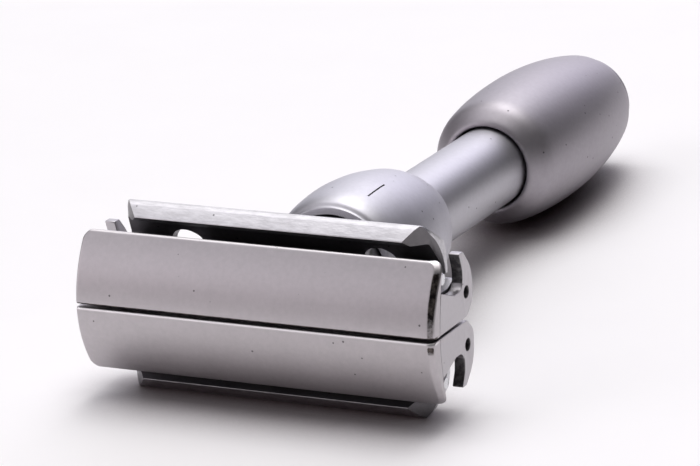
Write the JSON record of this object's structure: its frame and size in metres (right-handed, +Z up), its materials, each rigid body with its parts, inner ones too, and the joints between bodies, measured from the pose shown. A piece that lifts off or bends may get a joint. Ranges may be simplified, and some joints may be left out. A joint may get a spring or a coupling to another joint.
{
  "type": "adjustable safety razor",
  "caption": "Adjustable double-edge safety razor with twist-to-open butterfly doors, a round gap dial behind the guard and a barrel twist knob, lying on a table.",
  "frame": {"origin": "middle of the footprint, on the table that the razor lies on (it touches it with the guard's lower rim and the knob)", "axes": "+Z up from the table, +Y along the handle from the head to the knob, +X along the blade; the handle falls 1.73 degrees towards the knob"},
  "size_m": [0.048, 0.1114, 0.0243],
  "materials": {
    "satin_chrome": "satin bead-blasted chrome plate on brass",
    "dark_chrome": "dull chrome plate, in shade inside the head",
    "steel": "drawn stainless steel",
    "brass": "turned, unplated",
    "rubber": "black, matt",
    "nylon": "natural nylon"
  },
  "bodies": {
    "handle": {"handle_tube": "satin_chrome", "neck_tube": "dark_chrome", "blade_tray": "dark_chrome", "door_cam_pin_upper_right": "steel", "door_cam_pin_upper_left": "steel", "door_cam_pin_lower_right": "steel", "door_cam_pin_lower_left": "steel", "rod_guide_bush": "brass", "guard_spring": "steel", "detent_ball": "steel", "detent_spring": "steel", "knob_thrust_washer": "nylon", "knob_friction_ring": "rubber", "knob_retaining_clip": "steel"},
    "knob": {"twist_knob": "satin_chrome", "drive_nut": "brass", "knob_end_cap": "satin_chrome"},
    "carriage": {"centre_bar": "dark_chrome", "drive_rod": "steel", "rod_lock_nut": "steel", "door_hinge_pin_upper_right": "steel", "door_hinge_pin_upper_left": "steel", "door_hinge_pin_lower_right": "steel", "door_hinge_pin_lower_left": "steel"},
    "upper_door": {"upper_door_cap": "satin_chrome", "upper_door_end_right": "satin_chrome", "upper_door_end_left": "satin_chrome"},
    "lower_door": {"lower_door_cap": "satin_chrome", "lower_door_end_right": "satin_chrome", "lower_door_end_left": "satin_chrome"},
    "dial": {"adjusting_dial": "satin_chrome", "dial_snap_ring": "steel"},
    "guard": {"guard_plate": "satin_chrome", "guard_sleeve": "satin_chrome", "guard_screw_right": "steel", "guard_screw_left": "steel"}
  },
  "joints": [
    {"name": "knob_turn", "type": "hinge", "parent": "handle", "child": "knob", "pos_m": [0, 0.03549, 0.0096], "axis": [0, -0.9995, 0.0302], "range_deg": [0, 900]},
    {"name": "carriage_lift", "type": "slide", "parent": "handle", "child": "carriage", "axis": [0, -0.9995, 0.0302], "range_m": [0, 0.00752]},
    {"name": "upper_door_swing", "type": "hinge", "parent": "carriage", "child": "upper_door", "pos_m": [0, -0.04541, 0.01538], "axis": [-1, 0, 0], "range_deg": [0, 65.1]},
    {"name": "lower_door_swing", "type": "hinge", "parent": "carriage", "child": "lower_door", "pos_m": [0, -0.04561, 0.00872], "axis": [1, 0, 0], "range_deg": [0, 65.1]},
    {"name": "dial_turn", "type": "hinge", "parent": "handle", "child": "dial", "pos_m": [0, -0.01778, 0.01121], "axis": [0, -0.9995, 0.0302], "range_deg": [-120.05, 120.05]},
    {"name": "guard_slide", "type": "slide", "parent": "handle", "child": "guard", "axis": [0, -0.9995, 0.0302], "range_m": [-0.0004, 0.0004]}
  ],
  "couplings": [
    {"joint": "carriage_lift", "follows": "knob_turn", "m_per_rad": 0.00047746},
    {"joint": "upper_door_swing", "follows": "knob_turn", "ratio": 0.072222},
    {"joint": "lower_door_swing", "follows": "knob_turn", "ratio": 0.072222},
    {"joint": "dial_turn", "follows": "guard_slide", "rad_per_m": 5236}
  ]
}
